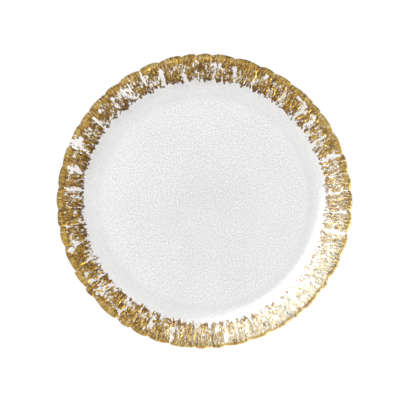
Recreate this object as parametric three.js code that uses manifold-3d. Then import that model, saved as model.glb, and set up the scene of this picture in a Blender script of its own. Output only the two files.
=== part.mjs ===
// Glass salad plate: a flat well, a coved shoulder and a bark-textured rim with a lobed edge.
// The rim's underside is gilded, with one leaf of gold to each plank of the bark.
// Millimetres, +Z up. The origin is the middle of the flat base, which stands on the table.
import * as THREE from 'three';
import { mergeVertices } from 'three/addons/utils/BufferGeometryUtils.js';
import Module from 'manifold-3d';

// Section of the glass, from the middle outwards
const WELL_DIAMETER = 150; // flat floor, above and below
const SHOULDER_WIDTH = 13.5; // cove from the well to the rim, in plan
const RIM_WIDTH = 19.5; // rim from the cove to the tips of its lobes, in plan
const WELL_GLASS = 4.5; // thickness of the floor
const RIM_GLASS = 4.2; // upright thickness where the rim begins
const EDGE_GLASS = 3.2; // upright thickness just inside the edge
const SHOULDER_RISE = 3.5; // height that the cove gains
const RIM_RISE = 8; // height that the rim gains
const EDGE_ROUND = 0.9; // how far the fire-polished edge stands out past its corners

// Bark of the rim: planks side by side round the plate, with a groove between each two.
// The mould holds this run of planks twice. The widths are shares of one run.
const PLANK_WIDTHS = [
  7.25, 8, 9, 8.5, 6, 11, 6.75, 7, 10, 9.5, 6.5, 6, 9.5, 7.5, 10.5, 6.25, 10.5, 5, 9.25, 9, 8.5, 8.5,
];
const RUNS_OF_PLANKS = 2;
const FIRST_GROOVE = 3.5; // degrees from +X
const GROOVE_WIDTH = 2.4;
const GROOVE_DEPTH = 1.3;
const RIB_PITCH = 5.2; // ribs run out along each plank about this far apart, two at the least
const RIB_DEPTH = 0.7; // of the valleys between a plank's ribs
const RIB_VARIATION = 0.3; // how much lower the lowest crest lies than the highest
const RIB_WANDER = 0.25; // how far a rib strays sideways, as a share of the way to the next valley
const RELIEF_RUN_IN = 4; // the relief comes up to its full depth over this much of the rim
const UPPER_SHARE = 0.3; // part of the relief that shows through on the upper side
const LOBE_REACH = 1.8; // how far a plank's end stands out past the notches beside it
const LOBE_VARIATION = 0.6; // how much shorter the shortest lobe is than the longest
const LOBE_ROUNDNESS = 0.6; // below 1 a lobe has a broad tip between sharp notches

// Gilding on the underside of the rim
const LEAF_THICKNESS = 0.15;
const BOND_LINE = 0.05; // gilder's size between glass and leaf
const LEAF_GAP = 1.3; // bare glass along each groove, between two leaves
const LEAF_INSET = 0.8; // bare glass from the start of the rim to the leaf's longest fingers
const LEAF_EDGE_MARGIN = 0.3; // bare glass from the leaf's outer end to the corner of the edge
const FINGER_LENGTH = 2.4; // how far a leaf runs in along a crest, past its ends in the valleys
const RAGGED_EDGE = 0.8; // most that a leaf's ends fall short of their line
const RAGGED_SWAY = 0.3; // how far the points of its ends stray sideways, as a share of its width
const CRACKED_FROM = 10; // a plank this wide, in the same shares, has a leaf that is torn across
const CRACK_HEIGHT = 1.2;
const CRACK_SHARE = 0.55; // length of the tear, as a share of its plank's width
const CRACK_SLANT = 1.4; // how far the tear's two sides lean past each other
const CRACK_FROM_EDGE = 6.5; // from the middle of the tear to the tips of the lobes

// Number of flat rings in each stretch of the section
const LOWER_COVE_RINGS = 2;
const UPPER_COVE_RINGS = 3;
const LOWER_RIM_RINGS = 2;
const UPPER_RIM_RINGS = 2;

const wellRadius = WELL_DIAMETER / 2;
const coveMiddle = wellRadius + SHOULDER_WIDTH / 2;
const rimStart = wellRadius + SHOULDER_WIDTH;
const rimMiddle = rimStart + RIM_WIDTH / 2;
const tipRadius = rimStart + RIM_WIDTH;
const cornerRadius = tipRadius - EDGE_ROUND;
const rimStartHeight = WELL_GLASS + SHOULDER_RISE;
const rimHeight = rimStartHeight + RIM_RISE;

const wasm = await Module();
wasm.setup();

const glass = new THREE.MeshStandardMaterial({
  name: 'clear_glass', color: 0xeef3f2, roughness: 0.06, metalness: 0, transparent: true, opacity: 0.35,
});
const gold = new THREE.MeshStandardMaterial({
  name: 'gold_leaf', color: 0xc9993f, roughness: 0.32, metalness: 1,
});

// A repeatable number from 0 to 1 for each plank and rib, so that no two look alike
function variation(plank, rib) {
  const wave = Math.sin(plank * 12.9898 + rib * 78.233) * 43758.5453;
  return wave - Math.floor(wave);
}

// Planks of the bark in order round the rim, as angles in radians
function makePlanks() {
  const run = PLANK_WIDTHS.reduce((sum, width) => sum + width, 0);
  const turn = 2 * Math.PI;
  const planks = [];
  let start = THREE.MathUtils.degToRad(FIRST_GROOVE);
  for (let copy = 0; copy < RUNS_OF_PLANKS; copy++) {
    PLANK_WIDTHS.forEach((width, place) => {
      const span = (turn / RUNS_OF_PLANKS) * (width / run);
      planks.push({ start, span, width, place });
      start += span;
    });
  }
  return planks;
}

// Columns of points across one plank: the groove at its start, then a crest, a valley, a crest and so on
function plankColumns({ start, span, place }) {
  const ribs = Math.max(2, Math.round((span * rimMiddle) / RIB_PITCH));
  const steps = 2 * (ribs - 1);
  const grooveHalf = Math.min(GROOVE_WIDTH / 2 / rimMiddle, span / 4);
  const pitch = (span - 2 * grooveHalf) / steps;
  const tip = LOBE_VARIATION * variation(place, 0);
  const columns = [{ angle: start, wander: 0, depth: GROOVE_DEPTH, drawnIn: LOBE_REACH, crest: false }];
  for (let step = 0; step <= steps; step++) {
    const across = grooveHalf + pitch * step;
    const crest = step % 2 === 0;
    const lobe = Math.sin(Math.PI * (across / span)) ** LOBE_ROUNDNESS;
    const free = step > 0 && step < steps;
    columns.push({
      angle: start + across,
      wander: free ? RIB_WANDER * pitch * (2 * variation(place, -step) - 1) : 0,
      depth: crest ? RIB_VARIATION * variation(place, step + 1) : RIB_DEPTH,
      drawnIn: LOBE_REACH + (tip - LOBE_REACH) * lobe,
      crest,
    });
  }
  return columns;
}

const planks = makePlanks();
const columns = planks.flatMap(plankColumns);

// How far out a radius lies on the rim, from 0 where the rim begins to 1 at the tips of the lobes
function acrossRim(radius) {
  return THREE.MathUtils.clamp((radius - rimStart) / RIM_WIDTH, 0, 1);
}

// Distance from the axis once the lobes have drawn the rim in
function planRadius(radius, drawnIn) {
  return radius - drawnIn * acrossRim(radius) ** 2;
}

// A point of the glass in the given column: the relief lifts it and the lobes draw it in
function barkPoint({ radius, height, reliefShare }, { angle, wander, depth, drawnIn }) {
  const runIn = THREE.MathUtils.clamp((radius - rimStart) / RELIEF_RUN_IN, 0, 1);
  const reach = planRadius(radius, drawnIn);
  const bent = angle + wander * Math.sin(Math.PI * acrossRim(radius));
  return new THREE.Vector3(
    reach * Math.cos(bent),
    reach * Math.sin(bent),
    height + depth * reliefShare * runIn,
  );
}

// Turns a section into a closed body, with one column of the bark to each segment of the turn
function revolve(section) {
  const profile = section.map(({ radius, height }) => new THREE.Vector2(radius, height));
  const geometry = new THREE.LatheGeometry(profile, columns.length);
  const position = geometry.getAttribute('position');
  for (let i = 0; i < position.count; i++) {
    const column = columns[Math.floor(i / section.length) % columns.length];
    const { x, y, z } = barkPoint(section[i % section.length], column);
    position.setXYZ(i, x, y, z);
  }
  geometry.computeVertexNormals();
  return geometry;
}

// Rings along a cove, from the well to the start of the rim
function coveRings(startHeight, endHeight, rings, reliefShare) {
  const curve = new THREE.QuadraticBezierCurve(
    new THREE.Vector2(wellRadius, startHeight),
    new THREE.Vector2(coveMiddle, startHeight),
    new THREE.Vector2(rimStart, endHeight),
  );
  return curve.getPoints(rings).map(({ x, y }) => ({ radius: x, height: y, reliefShare }));
}

// Rings along the rim, from the first with full relief to the corner of the edge.
// The rim leaves the cove at the cove's own slope and then flares out flatter.
function rimRings(floorHeight, startHeight, endHeight, rings, reliefShare) {
  const coveSlope = (startHeight - floorHeight) / (rimStart - coveMiddle);
  const middle = (rimStart + cornerRadius) / 2;
  const curve = new THREE.QuadraticBezierCurve(
    new THREE.Vector2(rimStart, startHeight),
    new THREE.Vector2(middle, startHeight + coveSlope * (middle - rimStart)),
    new THREE.Vector2(cornerRadius, endHeight),
  );
  const first = RELIEF_RUN_IN / (cornerRadius - rimStart);
  return Array.from({ length: rings + 1 }, (_, step) => {
    const { x, y } = curve.getPoint(first + (1 - first) * (step / rings));
    return { radius: x, height: y, reliefShare };
  });
}

const lowerRimStart = rimStartHeight - RIM_GLASS;
const lowerCove = coveRings(0, lowerRimStart, LOWER_COVE_RINGS, 1);
const lowerRim = rimRings(0, lowerRimStart, rimHeight - EDGE_GLASS, LOWER_RIM_RINGS, 1);
const upperCove = coveRings(WELL_GLASS, rimStartHeight, UPPER_COVE_RINGS, UPPER_SHARE);
const upperRim = rimRings(WELL_GLASS, rimStartHeight, rimHeight, UPPER_RIM_RINGS, UPPER_SHARE);

// The glass, one body from the flat base round the edge to the flat well
function glassBody() {
  const edge = {
    radius: tipRadius,
    height: rimHeight - EDGE_GLASS / 2,
    reliefShare: (1 + UPPER_SHARE) / 2,
  };
  return revolve([
    { radius: 0, height: 0, reliefShare: 0 },
    ...lowerCove,
    ...lowerRim,
    edge,
    ...upperRim.toReversed(),
    ...upperCove.toReversed(),
    { radius: 0, height: WELL_GLASS, reliefShare: 0 },
  ]);
}

// A closed geometry as a solid that can be cut
function toSolid(geometry) {
  const bare = new THREE.BufferGeometry().setAttribute('position', geometry.getAttribute('position'));
  const merged = mergeVertices(bare.setIndex(geometry.index));
  return new wasm.Manifold(new wasm.Mesh({
    numProp: 3,
    vertProperties: merged.getAttribute('position').array,
    triVerts: new Uint32Array(merged.index.array),
  }));
}

// A cut solid as a geometry again
function toGeometry(solid) {
  const { vertProperties, triVerts } = solid.getMesh();
  const geometry = new THREE.BufferGeometry();
  geometry.setAttribute('position', new THREE.BufferAttribute(vertProperties, 3));
  geometry.setIndex(new THREE.BufferAttribute(triVerts, 1));
  geometry.computeVertexNormals();
  return geometry;
}

// A film that lies under the glass by the bond line, with the same relief
function filmUnder(body) {
  const lowered = (depth) => toSolid(body.clone().translate(0, 0, -depth));
  return lowered(BOND_LINE + LEAF_THICKNESS).subtract(lowered(BOND_LINE));
}

// A point in plan at a radius and an angle
function polar(radius, angle) {
  return new THREE.Vector2(radius * Math.cos(angle), radius * Math.sin(angle));
}

// A tear across a leaf, as a slanted slit with pointed ends
function tear({ start, span }) {
  const radius = tipRadius - CRACK_FROM_EDGE;
  const middle = start + span / 2;
  const half = (span * CRACK_SHARE) / 2;
  const slant = CRACK_SLANT / radius;
  return new THREE.Path([
    polar(radius, middle - half),
    polar(radius - CRACK_HEIGHT / 2, middle + slant),
    polar(radius, middle + half),
    polar(radius + CRACK_HEIGHT / 2, middle - slant),
  ]);
}

// Outline of one plank's leaf in plan: its sides lie in the grooves, its outer end follows the lobe
// and its inner end has a finger along each rib. Both ends are a little ragged.
function leafOutline(plank, index) {
  const sideGap = LEAF_GAP / 2 / rimMiddle;
  const first = plank.start + sideGap;
  const last = plank.start + plank.span - sideGap;
  const fingerEnd = rimStart + LEAF_INSET;
  const valleyEnd = fingerEnd + FINGER_LENGTH;
  const outside = planRadius(cornerRadius, LOBE_REACH) - LEAF_EDGE_MARGIN;
  const innerEnd = [];
  const outerEnd = [];
  plankColumns(plank).forEach(({ angle, drawnIn, crest }, rib) => {
    const across = (angle - first) / (last - first);
    if (across <= 0 || across >= 1) return;
    const torn = variation(index, -1 - rib);
    const sway = RAGGED_SWAY * (torn - 0.5) * across * (1 - across);
    const tornAngle = first + (last - first) * (across + sway);
    const tornEdge = planRadius(cornerRadius, drawnIn) - LEAF_EDGE_MARGIN - RAGGED_EDGE * torn;
    innerEnd.unshift(polar((crest ? fingerEnd : valleyEnd) + RAGGED_EDGE * torn, tornAngle));
    if (crest) outerEnd.push(polar(tornEdge, tornAngle));
  });
  const outline = new THREE.Shape([
    polar(outside, first),
    ...outerEnd,
    polar(outside, last),
    polar(valleyEnd, last),
    ...innerEnd,
    polar(valleyEnd, first),
  ]);
  if (plank.width >= CRACKED_FROM) outline.holes.push(tear(plank));
  return outline;
}

// One leaf of gold under each plank, cut out of the film
function giltLeaf(film, plank, index) {
  const cutter = new THREE.ExtrudeGeometry(leafOutline(plank, index), { depth: rimHeight, bevelEnabled: false });
  const leaf = new THREE.Mesh(toGeometry(film.intersect(toSolid(cutter))), gold);
  leaf.name = `gilt_leaf_${String(index + 1).padStart(2, '0')}`;
  return leaf;
}

const body = glassBody();
const glassPlate = new THREE.Mesh(body, glass);
glassPlate.name = 'glass_plate';

const film = filmUnder(body);
const plate = new THREE.Group();
plate.name = 'salad_plate';
plate.add(glassPlate, ...planks.map((plank, index) => giltLeaf(film, plank, index)));

export default plate;
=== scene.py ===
"""Clear glass salad plate: a pebbled well, a coved shoulder and a bark rim gilded underneath."""

import math

import bmesh
import bpy
import numpy as np
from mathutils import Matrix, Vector, noise


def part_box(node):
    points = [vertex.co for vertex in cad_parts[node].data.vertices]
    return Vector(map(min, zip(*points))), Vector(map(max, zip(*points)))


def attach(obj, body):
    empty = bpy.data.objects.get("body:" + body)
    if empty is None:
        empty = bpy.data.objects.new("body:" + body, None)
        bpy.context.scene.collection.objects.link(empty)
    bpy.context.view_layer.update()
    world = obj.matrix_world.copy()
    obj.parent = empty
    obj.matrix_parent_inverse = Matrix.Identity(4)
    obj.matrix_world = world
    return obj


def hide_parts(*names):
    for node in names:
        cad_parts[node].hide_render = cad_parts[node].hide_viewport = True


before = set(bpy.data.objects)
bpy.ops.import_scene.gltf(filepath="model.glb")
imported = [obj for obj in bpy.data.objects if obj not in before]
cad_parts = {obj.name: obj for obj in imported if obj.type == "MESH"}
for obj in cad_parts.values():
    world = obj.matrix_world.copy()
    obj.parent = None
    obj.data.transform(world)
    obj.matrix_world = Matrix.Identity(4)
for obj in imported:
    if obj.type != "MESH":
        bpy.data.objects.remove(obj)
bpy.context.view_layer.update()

MM = 0.001
plate_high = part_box("glass_plate")[1]

# Section of the glass, as in the solids
WELL_RADIUS = 75 * MM
RIM_START = 88.5 * MM
LEAF_CLEARANCE = 0.12 * MM  # keeps the gold that wraps the edge inside the solids' outline
TIP_RADIUS = min(plate_high.x, plate_high.y) - LEAF_CLEARANCE
WELL_GLASS = 4.5 * MM
RIM_GLASS = 4.2 * MM
EDGE_GLASS = 3.2 * MM
SHOULDER_RISE = 3.5 * MM
RIM_RISE = 8.0 * MM
EDGE_ROUND = 0.9 * MM
CORNER_RADIUS = TIP_RADIUS - EDGE_ROUND
RIM_MIDDLE = (RIM_START + TIP_RADIUS) / 2
RIM_WIDTH = TIP_RADIUS - RIM_START
RIM_START_HEIGHT = WELL_GLASS + SHOULDER_RISE
RIM_HEIGHT = RIM_START_HEIGHT + RIM_RISE

# Bark of the rim, in degrees round the plate. The mould holds one run of planks twice.
PLANK_WIDTHS = (
    7.25, 8, 9, 8.5, 6, 11, 6.75, 7, 10, 9.5, 6.5, 6, 9.5, 7.5, 10.5, 6.25, 10.5, 5, 9.25, 9, 8.5, 8.5,
)
FIRST_GROOVE = 3.5

# Bare slit along each groove in turn, where the gold has not taken: width, inner and outer radius in mm
BARE_SLITS = (
    (1.2, 90, 105), (0.8, 88, 96), (2.8, 92, 105), (2.0, 91, 99), (1.8, 92, 102), (1.8, 90, 102),
    (1.8, 90, 102), (0.5, 89, 95), (2.0, 87, 94), (2.4, 95, 100), (1.0, 89, 96), (0.9, 91, 103),
    (1.8, 87, 94), (2.2, 94, 101), (1.8, 96, 106), (1.5, 92, 104), (2.2, 94, 101), (1.8, 94, 102),
    (1.2, 96, 99), (1.5, 93, 99), (2.0, 93, 103), (1.4, 91, 103), (0.6, 89, 94), (1.2, 96, 103),
    (1.8, 94, 99), (0.6, 90, 96), (1.6, 91, 102), (2.2, 91, 104), (1.8, 91, 104), (0.5, 89, 96),
    (2.4, 91, 100), (2.0, 91, 105), (0.6, 89, 97), (1.6, 87, 95), (2.4, 89, 104), (2.2, 89, 104),
    (0.7, 89, 98), (0.6, 90, 97), (1.6, 91, 105), (1.3, 91, 104), (0.7, 89, 98), (0.8, 90, 99),
    (2.4, 89, 105), (1.6, 89, 104),
)
# Cracks that run round the rim: first and last degree, radius in mm, width in mm
CRACKS = ((44, 54, 102.5, 0.7), (135, 139.5, 101.2, 1.2), (224, 234, 101, 0.7), (313.6, 322.4, 101, 0.5))
# Places where the leaf broke into specks: degree, radius in mm, reach in degrees, reach in mm, share lost
SPECKLED = (
    (155.6, 103.2, 3.1, 4.8, 1.22), (200.5, 103.5, 1.4, 2.8, 1.3), (85, 100.5, 3.4, 4.5, 0.45),
    (112, 92.5, 4.2, 4.0, 0.5), (124.5, 98, 3.4, 8.0, 0.55), (174.6, 97, 1.4, 6.0, 0.5),
    (316, 91.5, 24, 5.5, 0.55), (219.5, 98, 1.8, 6.5, 0.5), (63.5, 102, 1.0, 3.0, 0.9),
    (212.5, 101.5, 1.2, 2.5, 1.0),
)

# Relief of the bark
GROOVE_DEPTH = 0.46 * MM
GROOVE_WIDTH = 1.6 * MM
RIB_PITCH = 3.0 * MM
RIB_LINE_WIDTH = 1.0 * MM
RIB_DEPTH = 0.19 * MM
CRUMPLE_DEPTH = 0.14 * MM
CRINKLE_DEPTH = 0.03 * MM
RELIEF_RUN_IN = 2.2 * MM
LIP_WIDTH = 3.3 * MM  # the plainer lip outside the ribs
LIP_DROP = 0.45 * MM  # how far the underside of the lip curls down
UPPER_DEPTH = 0.16 * MM
UPPER_LINE_WIDTH = 1.5 * MM
LOBE_REACH = 1.8 * MM
LEAN = 1.3  # degrees that a groove may lean between the rim's start and its edge
KNOT_WIDTH = 1.5 * MM  # of the dimple where a groove runs out at the lip
KNOT_LENGTH = 1.2 * MM
CREASE_WIDTH = 0.6 * MM  # of the line of painted shade inside the lip

# Gold leaf
LEAF_THICKNESS = 0.12 * MM
LEAF_BITE = 0.04 * MM  # the leaf is bonded, so its face lies this far inside the glass's skin
LEAF_WRAP = 0.6 * MM  # how far the leaf wraps up round the edge
HAIRLINE = 0.04 * MM  # half the joint between two leaves
STREAK = 1.6  # the streaks of the gold and of the rim's glass, longer for a smaller number
FLAKE_STREAK = 5.0  # the same for the places where the leaf is worn through
FLAKE_LEAN = 4400.0  # the flakes of a leaf overlap, so each leans a little

# Fineness of the meshes
COLUMNS = 1320
RIM_ROWS = 38
UPPER_RIM_RINGS = 14
COVE_RINGS = 8
BASE_RADII = [6 * MM, 40 * MM]
EDGE_SWINGS = (-60, -30, 0, 30, 60)  # rings round the edge, in degrees from its outermost line
WRAPPED_SWINGS = 4  # how many of those rings the gold may reach
SHARP_ANGLE = math.radians(55)  # a leaf's torn edges are sharper than this


class Wire:
    """One output of a shader node. Arithmetic on it adds Math nodes to its tree."""

    def __init__(self, tree, socket=None):
        self.tree = tree
        self.socket = socket

    def node(self, kind, settings=None, sockets=None, output=0):
        """Adds a node of that kind: its settings first, then the values or links of its sockets."""
        made = self.tree.nodes.new(kind)
        for name, setting in (settings or {}).items():
            setattr(made, name, setting)
        for name, value in (sockets or {}).items():
            if isinstance(value, Wire):
                self.tree.links.new(value.socket, made.inputs[name])
            else:
                made.inputs[name].default_value = value
        return Wire(self.tree, made.outputs[output]) if made.outputs else None

    def maths(self, operation, *values):
        return self.node("ShaderNodeMath", {"operation": operation}, dict(enumerate(values)))

    def __add__(self, other):
        return self.maths("ADD", self, other)

    __radd__ = __add__

    def __sub__(self, other):
        return self.maths("SUBTRACT", self, other)

    def __rsub__(self, other):
        return self.maths("SUBTRACT", other, self)

    def __mul__(self, other):
        return self.maths("MULTIPLY", self, other)

    __rmul__ = __mul__

    def mix(self, low, high):
        """A colour between low and high, with this value as the share of high."""
        sockets = {"Factor": self, "A": low, "B": high}
        return self.node("ShaderNodeMix", {"data_type": "RGBA"}, sockets, output="Result")

    def ramp(self, low, high):
        """This value stretched so that low becomes 0 and high becomes 1, held between them."""
        sockets = {"Value": self, "From Min": low, "From Max": high}
        return self.node("ShaderNodeMapRange", {"clamp": True}, sockets)


def grain(points, octaves=2):
    """Smooth noise, about -1 to 1, at rows of points."""
    flat = points.reshape(-1, 3).tolist()
    values = [noise.fractal(point, 1.0, 2.0, octaves) for point in flat]
    return np.array(values).reshape(points.shape[:-1])


def polar_grain(angle, radius, along, across, seed, octaves=2):
    """Noise over the rim whose grains are so long out from the middle and so wide round it."""
    turn = np.radians(angle)
    ring = RIM_MIDDLE / across
    places = [ring * np.cos(turn), ring * np.sin(turn), radius / along + seed]
    return grain(np.stack(np.broadcast_arrays(*places), axis=-1), octaves)


def smooth(low, high, value):
    share = np.clip((value - low) / (high - low), 0, 1)
    return share * share * (3 - 2 * share)


# Section heights

def section_height(radius, floor, start, end):
    """Height of one face of the glass: flat in the well, then the cove, then the flaring rim."""
    half_cove = (RIM_START - WELL_RADIUS) / 2
    half_rim = (CORNER_RADIUS - RIM_START) / 2
    cove = np.clip((radius - WELL_RADIUS) / (2 * half_cove), 0, 1)
    rim = np.clip((radius - RIM_START) / (2 * half_rim), 0, 1)
    knee = (start - floor) / half_cove * half_rim
    flare = 2 * rim * (1 - rim) * knee + rim * rim * (end - start)
    return floor + (start - floor) * cove * cove + flare


def lower_height(radius):
    lip = np.clip((radius - CORNER_RADIUS) / LIP_WIDTH + 1, 0, 1)
    height = section_height(radius, 0.0, RIM_START_HEIGHT - RIM_GLASS, RIM_HEIGHT - EDGE_GLASS)
    return height - LIP_DROP * lip * lip


def upper_height(radius):
    return section_height(radius, WELL_GLASS, RIM_START_HEIGHT, RIM_HEIGHT)


# Bark relief

grooves = FIRST_GROOVE + np.concatenate([[0.0], np.cumsum(np.tile(PLANK_WIDTHS, 2))])
plank_count = len(grooves) - 1
DEGREE = RIM_MIDDLE * math.pi / 180  # length of one degree round the rim


class Bark:
    """The bark at points of the rim, given as degrees round the plate and as a radius."""

    def __init__(self, angle, radius):
        self.angle, self.radius = np.broadcast_arrays(angle, radius)
        self.across = np.clip((self.radius - RIM_START) / RIM_WIDTH, 0, 1)
        lean = LEAN * polar_grain(self.angle, 0 * self.radius, RIM_WIDTH, 14 * MM, 3.0, 1)
        wiggle = 0.95 * polar_grain(self.angle, self.radius, 6 * MM, 6 * MM, 11.0, 1)
        turned = self.angle - 2 * lean * (self.across - 0.5) - wiggle
        turned = (turned - FIRST_GROOVE) % 360 + FIRST_GROOVE
        self.plank = np.clip(np.searchsorted(grooves, turned, side="right") - 1, 0, plank_count - 1)
        width = grooves[self.plank + 1] - grooves[self.plank]
        past = turned - grooves[self.plank]
        self.share = past / width
        self.nearer = np.where(self.share < 0.5, self.plank, (self.plank + 1) % plank_count)
        self.groove_distance = np.minimum(past, width - past) * DEGREE
        ribs = np.maximum(2, np.round(width * DEGREE / RIB_PITCH))
        off_line = np.abs(self.share * ribs - np.round(self.share * ribs))
        self.rib_distance = off_line * width * DEGREE / ribs

    def valley(self, width=RIB_LINE_WIDTH):
        """1 along the narrow valleys between a plank's ribs, 0 on their flat crests."""
        return np.exp(-((2 * self.rib_distance / width) ** 2))

    def groove(self):
        """1 along the grooves, 0 on the planks."""
        return np.exp(-((2 * self.groove_distance / GROOVE_WIDTH) ** 2))

    def run_in(self):
        """0 on the shoulder, 1 where the relief is full. The ribs start in fingers of unequal length."""
        uneven = 1.2 * MM * polar_grain(self.angle, 0 * self.radius, RIM_WIDTH, 5 * MM, 21.0, 1)
        start = RIM_START - 1.2 * MM + uneven + 1.4 * MM * self.valley()
        return smooth(start, start + RELIEF_RUN_IN, self.radius)

    def uneven(self):
        """Noise that makes the lines fade and the lip wander."""
        return polar_grain(self.angle, self.radius, 8 * MM, 4 * MM, 81.0, 1)

    def past_lip_start(self):
        """How far a point is past the uneven line where the lip starts."""
        return self.radius - CORNER_RADIUS + LIP_WIDTH - 1.5 * MM * self.uneven()

    def lines(self):
        """1 in the deepest of the valleys and grooves, 0 on the flats."""
        faded = np.clip(0.6 + 1.6 * self.uneven(), 0, 1)
        return np.maximum(self.valley(), self.groove()) * faded

    def knot(self):
        """1 at the dimples where the grooves run out at the lip."""
        off_groove = self.groove_distance / KNOT_WIDTH
        off_lip = self.past_lip_start() / KNOT_LENGTH
        return np.exp(-(off_groove**2 + off_lip**2))

    def shade(self):
        """Painted shade on the gilding: how much darker it is in the lines, the dimples and the crease
        inside the lip.
        """
        past = self.past_lip_start()
        crease = 0.45 * np.exp(-((past / CREASE_WIDTH) ** 2))
        lines = self.lines() * (1 - 0.7 * smooth(0, 1 * MM, past))
        return np.maximum(np.maximum(lines, crease), 0.6 * self.knot())

    def pressed(self):
        """Depth of the grooves and of the lines between the ribs."""
        groove = self.groove()
        ribs = RIB_DEPTH * self.lines() * (1 - groove)
        return GROOVE_DEPTH * groove * np.clip(0.7 + self.uneven(), 0, 1) + ribs

    def recess(self):
        """How far the relief is sunk into the underside of the glass."""
        crumple = polar_grain(self.angle, self.radius, 7 * MM, 4 * MM, 31.0, 1)
        crinkle = polar_grain(self.angle, self.radius, 1.4 * MM, 1.2 * MM, 71.0, 1)
        lip = smooth(-1.2 * MM, 1.6 * MM, self.past_lip_start())
        beaten = CRUMPLE_DEPTH * (crumple + 0.6) + CRINKLE_DEPTH * (crinkle + 0.5)
        return self.run_in() * (self.pressed() * (1 - 0.95 * lip) + beaten * (1 - 0.5 * lip))

    def drawn_in(self):
        """How far the lobes of the edge draw a point in."""
        skew = 1 + 0.45 * np.sin(self.plank * 7.233)
        lobe = np.sin(math.pi * np.clip(self.share, 0, 1) ** skew) ** 0.6
        tip = 0.6 * MM * (0.5 + 0.5 * np.sin(self.plank * 12.9898))
        return (LOBE_REACH + (tip - LOBE_REACH) * lobe) * self.across ** 2

    def outside_slit(self):
        """Distance from the bare slit of the nearer groove."""
        width, inner, outer = np.array(BARE_SLITS).T[:, self.nearer] * MM
        beyond = np.maximum(np.maximum(inner - self.radius, self.radius - outer), 0)
        return np.hypot(self.groove_distance, beyond) - width / 2

    def outside_cracks(self):
        """Distance from the nearest of the cracks that run round the rim."""
        nearest = np.full(self.angle.shape, RIM_WIDTH)
        for first, last, radius, width in CRACKS:
            past_end = np.maximum(np.maximum(first - self.angle, self.angle - last), 0) * DEGREE
            away = np.hypot(past_end, self.radius - radius * MM) - width * MM / 2
            nearest = np.minimum(nearest, away)
        return nearest

    def lost(self):
        """Share of the leaf that is lost, high in the speckled places."""
        share = np.zeros(self.angle.shape)
        for angle, radius, reach_round, reach_out, peak in SPECKLED:
            round_it = (self.angle - angle) / reach_round
            out = (self.radius - radius * MM) / (reach_out * MM)
            share = np.maximum(share, peak * np.exp(-((round_it**2 + out**2) ** 2)))
        return share

    def gold(self):
        """Above 0 where the leaf has taken, below 0 where the glass is bare, as a distance."""
        tear = 2.0 * MM * polar_grain(self.angle, self.radius, 5.0 * MM, 2.4 * MM, 41.0, 1)
        tear = tear + 1.6 * MM * polar_grain(self.angle, self.radius, 2.6 * MM, 1.2 * MM, 43.0, 1)
        finger = 1 + 1.3 * polar_grain(self.angle, 0 * self.radius, RIM_WIDTH, 2.5 * MM, 45.0, 2)
        inner = self.radius - RIM_START + 0.3 * MM - 1.3 * MM * finger
        wear = polar_grain(self.angle, self.radius, 3.0 * MM, 1.1 * MM, 51.0, 2)
        lip = smooth(-1 * MM, 1 * MM, self.past_lip_start())
        worn = (0.52 + 0.43 * lip - self.lost() - wear) * 1.4 * MM
        broken = np.minimum(np.minimum(self.outside_slit(), self.outside_cracks()), inner)
        torn = broken + tear * (1 - 0.6 * lip)
        return np.minimum(np.minimum(torn, worn), self.groove_distance - HAIRLINE)


angles = np.arange(COLUMNS) * 360.0 / COLUMNS


def ring_points(angle, radius, height):
    turn = np.radians(angle)
    places = [radius * np.cos(turn), radius * np.sin(turn), height]
    return np.stack(np.broadcast_arrays(*places), axis=-1)


def lower_ring(radius):
    """One ring of points on the underside."""
    bark = Bark(angles, radius)
    drawn = radius - bark.drawn_in()
    return ring_points(angles, drawn, lower_height(drawn) + bark.recess())


def upper_ring(radius):
    """One ring of points on the upper side, where the bark is shallower and softer."""
    bark = Bark(angles, radius)
    faded = np.clip(0.7 + 1.2 * bark.uneven(), 0, 1)
    lines = np.maximum(bark.valley(UPPER_LINE_WIDTH), bark.groove()) * faded
    sunk = UPPER_DEPTH * lines * smooth(RIM_START - 1 * MM, RIM_START + 4 * MM, radius)
    drawn = radius - bark.drawn_in()
    return ring_points(angles, drawn, upper_height(drawn) - sunk)


def finish_mesh(name, points, faces, material, node):
    """A smooth-shaded piece that stands for a node of the frame."""
    mesh = bpy.data.meshes.new(name)
    mesh.from_pydata(points.tolist(), [], faces)
    mesh.materials.append(material)
    mesh.polygons.foreach_set("use_smooth", [True] * len(mesh.polygons))
    piece = bpy.data.objects.new(name, mesh)
    bpy.context.scene.collection.objects.link(piece)
    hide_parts(node)
    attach(piece, "root")
    return piece


rim_radii = np.linspace(RIM_START - 1.5 * MM, CORNER_RADIUS, RIM_ROWS + 1)
under_rim = [lower_ring(radius) for radius in rim_radii]
edge_top = upper_ring(CORNER_RADIUS)
edge_middle = (edge_top + under_rim[-1]) / 2
edge_half = (edge_top - under_rim[-1]) / 2
edge_outward = ring_points(angles, EDGE_ROUND, 0.0)
edge_rings = [
    edge_middle + edge_half * math.sin(swing) + edge_outward * math.cos(swing)
    for swing in np.radians(EDGE_SWINGS)
]


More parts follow.
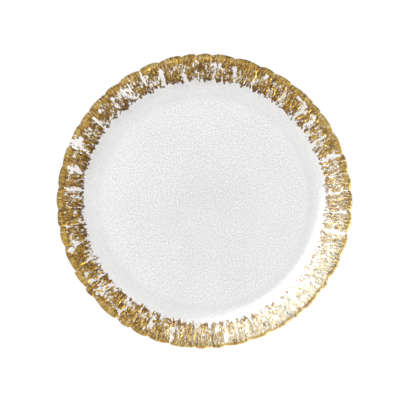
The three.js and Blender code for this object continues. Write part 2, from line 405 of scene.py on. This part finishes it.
def glass_body(material):
    """The glass, from the middle of the base round the edge to the middle of the well."""
    cove_radii = np.linspace(WELL_RADIUS, RIM_START, COVE_RINGS)[:-1].tolist()
    lower_radii = BASE_RADII + cove_radii[:-1]
    upper_radii = np.linspace(CORNER_RADIUS, RIM_START, UPPER_RIM_RINGS).tolist()
    upper_radii += cove_radii[::-1] + BASE_RADII[::-1]
    rings = [lower_ring(radius) for radius in lower_radii] + under_rim + edge_rings
    rings += [upper_ring(radius) for radius in upper_radii]
    points = np.concatenate(rings + [np.array([[0, 0, 0], [0, 0, WELL_GLASS]])])
    first, last = len(points) - 2, len(points) - 1
    faces = []
    for ring in range(len(rings) - 1):
        start = ring * COLUMNS
        for column in range(COLUMNS):
            following = (column + 1) % COLUMNS
            low, high = start + column, start + following
            faces.append((low, high, high + COLUMNS, low + COLUMNS))
    top = (len(rings) - 1) * COLUMNS
    for column in range(COLUMNS):
        following = (column + 1) % COLUMNS
        faces.append((first, following, column))
        faces.append((last, top + column, top + following))
    return finish_mesh("glass_body", points, faces, material, "glass_plate")


def thicken(piece):
    """Gives a leaf its thickness, away from the glass, with crisp torn edges."""
    shape = bmesh.new()
    shape.from_mesh(piece.data)
    bmesh.ops.solidify(shape, geom=shape.faces[:], thickness=LEAF_THICKNESS)
    shape.to_mesh(piece.data)
    shape.free()
    piece.data.set_sharp_from_angle(angle=SHARP_ANGLE)


def shade_lines(piece):
    """Marks how much painted shade the gilding takes at each point of a leaf."""
    places = np.empty(len(piece.data.vertices) * 3)
    piece.data.vertices.foreach_get("co", places)
    x, y, _ = places.reshape(-1, 3).T
    bark = Bark(np.degrees(np.arctan2(y, x)) % 360, np.hypot(x, y))
    mark = piece.data.attributes.new("shade", "FLOAT", "POINT")
    mark.data.foreach_set("value", bark.shade())


def gilt_leaf(plank, bark, gold, points, material):
    """One plank's leaf: the cells of the underside that hold gold, cut along the line where it ends."""
    held = np.where(bark.plank == plank, gold, -bark.groove_distance - HAIRLINE)
    columns = held.shape[1]
    corners, faces, places = [], [], {}

    def place(first, second):
        """The point on the cell's side between two grid points where the gold ends, or a grid point."""
        key = (first, second) if first < second else (second, first)
        if key not in places:
            places[key] = len(corners)
            a, b = held[key[0]], held[key[1]]
            share = 0.0 if first == second else a / (a - b)
            corners.append(points[key[0]] * (1 - share) + points[key[1]] * share)
        return places[key]

    touched = held > 0
    beside = np.roll(touched, -1, 1)
    used = np.argwhere(touched[:-1] | touched[1:] | beside[:-1] | beside[1:])
    for row, column in used.tolist():
        following = (column + 1) % columns
        cell = [(row, column), (row + 1, column), (row + 1, following), (row, following)]
        outline = []
        for corner, after in zip(cell, cell[1:] + cell[:1]):
            if touched[corner]:
                outline.append(place(corner, corner))
            if touched[corner] != touched[after]:
                outline.append(place(corner, after))
        if len(outline) > 2:
            faces.append(outline)
    name = f"gilt_leaf_{plank + 1:02d}"
    piece = finish_mesh("gold_" + name[5:], np.array(corners), faces, material, name)
    thicken(piece)
    shade_lines(piece)
    return piece


def gilding(material):
    """A leaf of gold under each plank, on the same points as the glass, wrapped up round its edge."""
    wrapped = edge_rings[:WRAPPED_SWINGS]
    inward = [edge_middle - ring for ring in wrapped]
    inward = [way / np.linalg.norm(way, axis=-1, keepdims=True) for way in inward]
    raised = [ring + np.array([0, 0, LEAF_BITE]) for ring in under_rim]
    raised += [ring + way * LEAF_BITE for ring, way in zip(wrapped, inward)]
    corner_rows = np.full(WRAPPED_SWINGS, CORNER_RADIUS)
    bark = Bark(angles[None, :], np.concatenate([rim_radii, corner_rows])[:, None])
    gold = bark.gold()
    ragged = 0.5 * MM * polar_grain(angles, CORNER_RADIUS, RIM_WIDTH, 3 * MM, 61.0, 2)
    for step, ring in enumerate(wrapped):
        climbed = np.linalg.norm(ring - under_rim[-1], axis=-1)
        row = len(rim_radii) + step
        gold[row] = np.minimum(gold[row], LEAF_WRAP + ragged - climbed)
    points = np.stack(raised)
    return [gilt_leaf(plank, bark, gold, points, material) for plank in range(plank_count)]


def new_material(name):
    """A material with no nodes yet, and the wire to add them with."""
    material = bpy.data.materials.new(name)
    material.use_nodes = True
    material.node_tree.nodes.clear()
    return material, Wire(material.node_tree)


def place_and_radius(wire):
    """A point's place on the plate, and how far it is from the plate's middle."""
    place = wire.node("ShaderNodeTexCoord", output="Object")
    radius = wire.node("ShaderNodeVectorMath", {"operation": "LENGTH"}, {0: place}, output="Value")
    return place, radius


def drawn_out(place, streak):
    """Coordinates in which noise runs out from the middle in streaks."""
    outward = place.node("ShaderNodeVectorMath", {"operation": "NORMALIZE"}, {0: place}, output="Vector")
    sockets = {0: place, 1: (streak,) * 3, 2: outward}
    return place.node("ShaderNodeVectorMath", {"operation": "MULTIPLY_ADD"}, sockets, output="Vector")


def speckle_noise(place, scale, detail, distortion=0.0):
    """Noise from 0 to 1, with about so many grains to the metre."""
    sockets = {"Vector": place, "Scale": scale, "Detail": detail, "Distortion": distortion}
    return place.node("ShaderNodeTexNoise", None, sockets)


# Ends of the glass's tint; the darker end carries painted shade and painted light
DARKEST_GLASS_TINT = (0.625, 0.625, 0.623, 1)
PALE_GLASS = (0.935, 0.935, 0.932, 1)
# Painted reflection: a warm tint on the bare glass of the rim stands in for the gold reflected in it
PAINTED_GOLD_REFLECTION = (0.985, 0.968, 0.945, 1)
SHADOW_TINT = (0.93, 0.93, 0.93, 1)
GLASS_BUMP = 0.4 * MM
# Colours of the leaf; the brown end also takes the painted shade
BROWN_GOLD = (0.2, 0.086, 0.002, 1)
PLAIN_GOLD = (0.8, 0.5, 0.07, 1)
BRIGHT_GOLD = (1.0, 0.87, 0.5, 1)
LEAF_BUMP = 0.05 * MM


def clear_glass():
    """Glass with a pebbled well and a rippled rim. Its tint carries painted shade towards the middle of
    the well and in a ring at the bend, painted light in the pebbling and a painted reflection of the gold
    on the rim.
    """
    material, wire = new_material("clear_glass")
    place, radius = place_and_radius(wire)
    in_well = 1 - radius.ramp(WELL_RADIUS - 3 * MM, WELL_RADIUS + 3 * MM)
    pebble = speckle_noise(place, 900.0, 2.0)
    patches = speckle_noise(place, 30.0, 2.0)
    past_bend = radius.ramp(WELL_RADIUS - 1 * MM, WELL_RADIUS + 4 * MM)
    bend = past_bend * (1 - radius.ramp(WELL_RADIUS + 3 * MM, WELL_RADIUS + 7 * MM))
    on_rim = radius.ramp(RIM_START - 5 * MM, RIM_START + 4 * MM)
    rippled = radius.ramp(RIM_START - 1 * MM, RIM_START + 3 * MM)
    # Painted shade: the tint is darker towards the middle of the well, in a ring at the bend and past it,
    # and lighter on the rim; the patches vary it at random
    glass_tone_and_painted_shade = 0.46 + 0.17 * radius.ramp(0.0, WELL_RADIUS) + 0.25 * (patches - 0.5)
    glass_tone_and_painted_shade = glass_tone_and_painted_shade - 0.1 * bend - 0.06 * past_bend + 0.5 * on_rim
    # Painted light: the pebble speckle in the tint stands in for light that the pebbling scatters and
    # focusses
    speckle = (pebble - 0.5) * (1.0 + 1.7 * in_well)
    glass_tint_and_painted_light = (glass_tone_and_painted_shade + speckle).mix(DARKEST_GLASS_TINT, PALE_GLASS)
    # On the rim the tint turns to the painted reflection of the gold
    tint = rippled.mix(glass_tint_and_painted_light, PAINTED_GOLD_REFLECTION)
    ripple = speckle_noise(drawn_out(place, STREAK), 60.0, 2.0)
    relief = pebble * in_well + 3.0 * ripple * rippled
    bumps = wire.node("ShaderNodeBump", None, {"Strength": 0.35, "Distance": GLASS_BUMP, "Height": relief})
    glass = wire.node(
        "ShaderNodeBsdfPrincipled",
        None,
        {
            "Base Color": tint,
            "Roughness": 0.04 + 0.14 * past_bend - 0.06 * on_rim,
            "IOR": 1.54,
            "Transmission Weight": 1.0,
            "Normal": bumps,
        },
    )
    clear = wire.node("ShaderNodeBsdfTransparent", None, {"Color": SHADOW_TINT})
    shadow = wire.node("ShaderNodeLightPath", output="Is Shadow Ray")
    surface = wire.node("ShaderNodeMixShader", None, {0: shadow, 1: glass, 2: clear})
    wire.node("ShaderNodeOutputMaterial", None, {"Surface": surface})
    return material


def gold_leaf():
    """Leaf of uneven tone, with painted shade in the lines and towards its inner edge, worn through in
    flakes and pinholes.
    """
    material, wire = new_material("gold_leaf")
    place, radius = place_and_radius(wire)
    cloud = speckle_noise(place, 150.0, 2.0)
    crinkle = speckle_noise(place, 700.0, 3.0)
    # Painted shade marked on each leaf: darker in its lines, dimples and crease
    shade = wire.node("ShaderNodeAttribute", {"attribute_name": "shade"}, output="Fac")
    streak = speckle_noise(drawn_out(place, STREAK), 80.0, 3.0)
    flaked = drawn_out(place, FLAKE_STREAK)
    flake = speckle_noise(flaked, 38.0, 3.0, distortion=0.8)
    speck = speckle_noise(flaked, 85.0, 1.0)
    on_lip = radius.ramp(CORNER_RADIUS - 1.6 * LIP_WIDTH, CORNER_RADIUS - 0.6 * LIP_WIDTH)
    # Painted shade: the leaf is darker towards its inner edge, and the same mask wears it through more
    # there
    inner_edge_shade_and_wear = 1 - radius.ramp(RIM_START, RIM_START + 5 * MM)
    # Tone that differs at random, with painted shade taken off in the lines and towards the inner edge
    leaf_tone_and_painted_shade = 0.24 + 0.13 * on_lip + 2.2 * (streak - 0.5) + 1.2 * (crinkle - 0.5)
    leaf_tone_and_painted_shade = leaf_tone_and_painted_shade + 0.6 * (cloud - 0.5) - 0.65 * inner_edge_shade_and_wear - 0.6 * shade
    darker_tone_and_painted_shade = leaf_tone_and_painted_shade.ramp(0.0, 0.5).mix(BROWN_GOLD, PLAIN_GOLD)
    colour = leaf_tone_and_painted_shade.ramp(0.46, 0.96).mix(darker_tone_and_painted_shade, BRIGHT_GOLD)
    worn = flake + 0.5 * (cloud - 0.5) - 0.15 * on_lip + 0.08 * inner_edge_shade_and_wear
    pinholes = speck + 0.5 * (cloud - 0.5) - 0.12 * on_lip
    leaning = crinkle - FLAKE_LEAN * radius
    bumps = wire.node("ShaderNodeBump", None, {"Strength": 1.0, "Distance": LEAF_BUMP, "Height": leaning})
    gold = wire.node(
        "ShaderNodeBsdfPrincipled",
        None,
        {
            "Base Color": colour,
            "Metallic": 1.0,
            "Coat Weight": 1.0,
            "Coat Roughness": 0.12,
            "Roughness": 0.4 - 0.26 * leaf_tone_and_painted_shade.ramp(0.0, 0.55),
            "Alpha": 1 - worn.ramp(0.57, 0.65) - pinholes.ramp(0.615, 0.685),
            "Normal": bumps,
        },
    )
    wire.node("ShaderNodeOutputMaterial", None, {"Surface": gold})
    return material


FLOOR_REACH = 2.5
FLOOR_DROP = 0.3 * MM  # how far the floor lies under the plate
FLOOR_PAPER = (0.985, 0.905, 0.945, 1)
OPEN_GLOW = 0.985  # share of the floor's white that is its own, seen directly or in a reflection
GLOW_THROUGH = 0.72  # the same through the glass, where the rest takes the plate's shadow


def pale_floor():
    """A floor that is near white to the camera, and shows the plate's shadow through the glass."""
    material, wire = new_material("pale_floor")
    paper = wire.node("ShaderNodeBsdfDiffuse", None, {"Color": FLOOR_PAPER})
    glow = wire.node("ShaderNodeEmission", None, {"Color": (1, 1, 1, 1), "Strength": 1.0})
    camera, glossy, through = [
        wire.node("ShaderNodeLightPath", output=kind)
        for kind in ("Is Camera Ray", "Is Glossy Ray", "Is Transmission Ray")
    ]
    share = OPEN_GLOW * (camera + glossy * (1 - through)) + GLOW_THROUGH * through
    surface = wire.node("ShaderNodeMixShader", None, {0: share, 1: paper, 2: glow})
    wire.node("ShaderNodeOutputMaterial", None, {"Surface": surface})
    return material


def lay_floor():
    mesh = bpy.data.meshes.new("table_floor")
    turns = [(-1, -1), (1, -1), (1, 1), (-1, 1)]
    corners = [(FLOOR_REACH * x, FLOOR_REACH * y, -FLOOR_DROP) for x, y in turns]
    mesh.from_pydata(corners, [], [(0, 1, 2, 3)])
    mesh.materials.append(pale_floor())
    floor = bpy.data.objects.new("table_floor", mesh)
    bpy.context.scene.collection.objects.link(floor)


def from_sky(azimuth, elevation):
    """The direction towards a point of the sky, in degrees."""
    turn, lift = math.radians(azimuth), math.radians(elevation)
    return Vector((math.cos(lift) * math.cos(turn), math.cos(lift) * math.sin(turn), math.sin(lift)))


KEY_SIDE = from_sky(134, 44.5)
CARD_SIDE = from_sky(318, 0)  # of the low white card, nearly opposite the softbox
SOFTBOX_SIZE = (1.75, 0.64)
SOFTBOX_DISTANCE = 1.2
SOFTBOX_POWER = 41
SOFTBOX_COLOUR = (0.91, 1.0, 0.95, 1)
SOFT_SIDES = (0.42, 0.42)  # share of the softbox over which its light fades at each end
SOFT_HEIGHT = (0.66, 0.1)  # the same at its upper and lower edge


def hang_softbox():
    """A wide softbox that fades towards its ends and edges."""
    lamp = bpy.data.lights.new("softbox", "AREA")
    lamp.shape = "RECTANGLE"
    lamp.size, lamp.size_y = SOFTBOX_SIZE
    lamp.energy = SOFTBOX_POWER
    lamp.use_nodes = True
    lamp.node_tree.nodes.clear()
    wire = Wire(lamp.node_tree)
    place = wire.node("ShaderNodeNewGeometry", output="Parametric")
    level = 1.0
    for axis, (near, far) in {"X": SOFT_SIDES, "Y": SOFT_HEIGHT}.items():
        share = wire.node("ShaderNodeSeparateXYZ", None, {"Vector": place}, output=axis)
        level = level * share.ramp(0.0, near) * (1 - share.ramp(1 - far, 1.0))
    glow = wire.node("ShaderNodeEmission", None, {"Color": SOFTBOX_COLOUR, "Strength": level})
    wire.node("ShaderNodeOutputLight", None, {"Surface": glow})
    box = bpy.data.objects.new("softbox", lamp)
    box.location = KEY_SIDE * SOFTBOX_DISTANCE
    box.rotation_euler = KEY_SIDE.to_track_quat("Z", "Y").to_euler()
    bpy.context.scene.collection.objects.link(box)


def light_studio():
    """A pale ceiling over dim walls, a low card on the side away from the softbox, and the softbox."""
    world = bpy.data.worlds.new("studio")
    world.use_nodes = True
    world.node_tree.nodes.clear()
    wire = Wire(world.node_tree)
    way = wire.node("ShaderNodeTexCoord", output="Generated")
    height = wire.node("ShaderNodeSeparateXYZ", None, {"Vector": way}, output="Z")
    sides = {0: way, 1: CARD_SIDE}
    aside = wire.node("ShaderNodeVectorMath", {"operation": "DOT_PRODUCT"}, sides, output="Value")
    card = aside.ramp(0.5, 0.85) * (1 - height.ramp(0.3, 0.5))
    level = 0.22 + 0.4 * height.ramp(0.64, 0.82) + 0.7 * card
    sky = wire.node("ShaderNodeBackground", None, {"Color": level, "Strength": 1.0})
    wire.node("ShaderNodeOutputWorld", None, {"Surface": sky})
    bpy.context.scene.world = world
    hang_softbox()


CAMERA_AIM = Vector((-3.1 * MM, 0.2 * MM, 12 * MM))
CAMERA_SIDE = from_sky(-90, 86)
CAMERA_DISTANCE = 0.806
CAMERA_LENS = 100  # mm, on a sensor of the width below
CAMERA_SENSOR = 36


def aim_camera():
    camera = bpy.data.cameras.new("photo_camera")
    camera.lens = CAMERA_LENS
    camera.sensor_width = CAMERA_SENSOR
    eye = bpy.data.objects.new("photo_camera", camera)
    eye.location = CAMERA_AIM + CAMERA_SIDE * CAMERA_DISTANCE
    eye.rotation_euler = CAMERA_SIDE.to_track_quat("Z", "Y").to_euler()
    bpy.context.scene.collection.objects.link(eye)
    bpy.context.scene.camera = eye


bpy.context.scene.view_settings.view_transform = "Standard"
aim_camera()
lay_floor()
light_studio()
glass_body(clear_glass())
gilding(gold_leaf())
